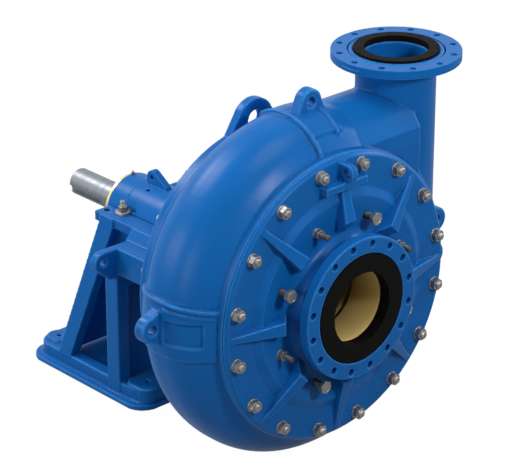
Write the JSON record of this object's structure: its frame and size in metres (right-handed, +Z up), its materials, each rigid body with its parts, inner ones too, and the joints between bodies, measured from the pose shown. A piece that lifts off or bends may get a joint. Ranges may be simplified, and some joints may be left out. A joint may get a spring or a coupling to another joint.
{
  "type": "slurry pump",
  "caption": "Horizontal end-suction slurry pump with ribbed front cover, upward side discharge, bearing cartridge and leaning-leg cast frame.",
  "frame": {"origin": "middle of the four hold-down holes, on the underside of the base", "axes": "+Z up, +Y along the shaft from the suction side to the drive end, +X to the side of the discharge"},
  "size_m": [1.6446, 1.7557, 1.582],
  "materials": {
    "blue_paint": "gloss paint",
    "zinc": "bright zinc plating",
    "rubber": "moulded, matt",
    "wear_gold": "machined, golden",
    "hard_iron": "as cast and ground",
    "bare_iron": "machined",
    "packing": "greased braid",
    "shaft_steel": "turned",
    "bearing_steel": "ground",
    "brass": "turned"
  },
  "bodies": {
    "frame": {"base_frame": "blue_paint", "frame_plate": "blue_paint", "frame_plate_bolts": "zinc", "volute_casing": "blue_paint", "cover_plate": "blue_paint", "cover_studs": "zinc", "cover_nuts": "zinc", "cover_washers": "zinc", "rear_studs": "zinc", "rear_nuts": "zinc", "intake_joint": "rubber", "discharge_joint": "rubber", "discharge_flange_front": "blue_paint", "discharge_flange_back": "blue_paint", "throatbush_nuts": "zinc", "frame_plate_liner": "hard_iron", "stuffing_box": "bare_iron", "lantern_ring": "packing", "packing_rings": "packing", "gland": "bare_iron", "gland_studs": "zinc", "clamp_studs": "zinc", "clamp_washers": "zinc", "clamp_nuts": "zinc", "cartridge_adjuster": "zinc"},
    "throatbush": {"throatbush": "wear_gold", "throatbush_studs": "zinc", "adjusting_bolts": "zinc"},
    "cartridge": {"bearing_housing": "blue_paint", "pump_end_cover": "blue_paint", "drive_end_cover": "blue_paint", "end_cover_bolts": "zinc", "pump_bearing_outer": "bearing_steel", "drive_bearing_outer": "bearing_steel", "grease_nipples": "zinc"},
    "rotor": {"shaft": "shaft_steel", "shaft_sleeve": "shaft_steel", "impeller": "wear_gold", "pump_bearing_inner": "bearing_steel", "drive_bearing_inner": "bearing_steel", "bearing_lock_nut": "bearing_steel", "labyrinth_ring": "brass", "pump_labyrinth": "bearing_steel"},
    "pump_rollers": {"pump_bearing_rollers": "bearing_steel"},
    "drive_rollers": {"drive_bearing_rollers": "bearing_steel"}
  },
  "joints": [
    {"name": "throatbush_adjust", "type": "slide", "parent": "frame", "child": "throatbush", "axis": [0, 1, 0], "range_m": [0, 0.01]},
    {"name": "cartridge_adjust", "type": "slide", "parent": "frame", "child": "cartridge", "axis": [0, 1, 0], "range_m": [-0.003, 0.003]},
    {"name": "shaft_spin", "type": "hinge", "parent": "cartridge", "child": "rotor", "pos_m": [0, -0.1855, 0.7], "axis": [0, 1, 0], "continuous": true},
    {"name": "pump_rollers_spin", "type": "hinge", "parent": "cartridge", "child": "pump_rollers", "pos_m": [0, -0.4375, 0.7], "axis": [0, 1, 0], "continuous": true},
    {"name": "drive_rollers_spin", "type": "hinge", "parent": "cartridge", "child": "drive_rollers", "pos_m": [0, -0.0485, 0.7], "axis": [0, 1, 0], "continuous": true}
  ],
  "couplings": [
    {"joint": "pump_rollers_spin", "follows": "shaft_spin", "ratio": 0.439},
    {"joint": "drive_rollers_spin", "follows": "shaft_spin", "ratio": 0.439}
  ]
}
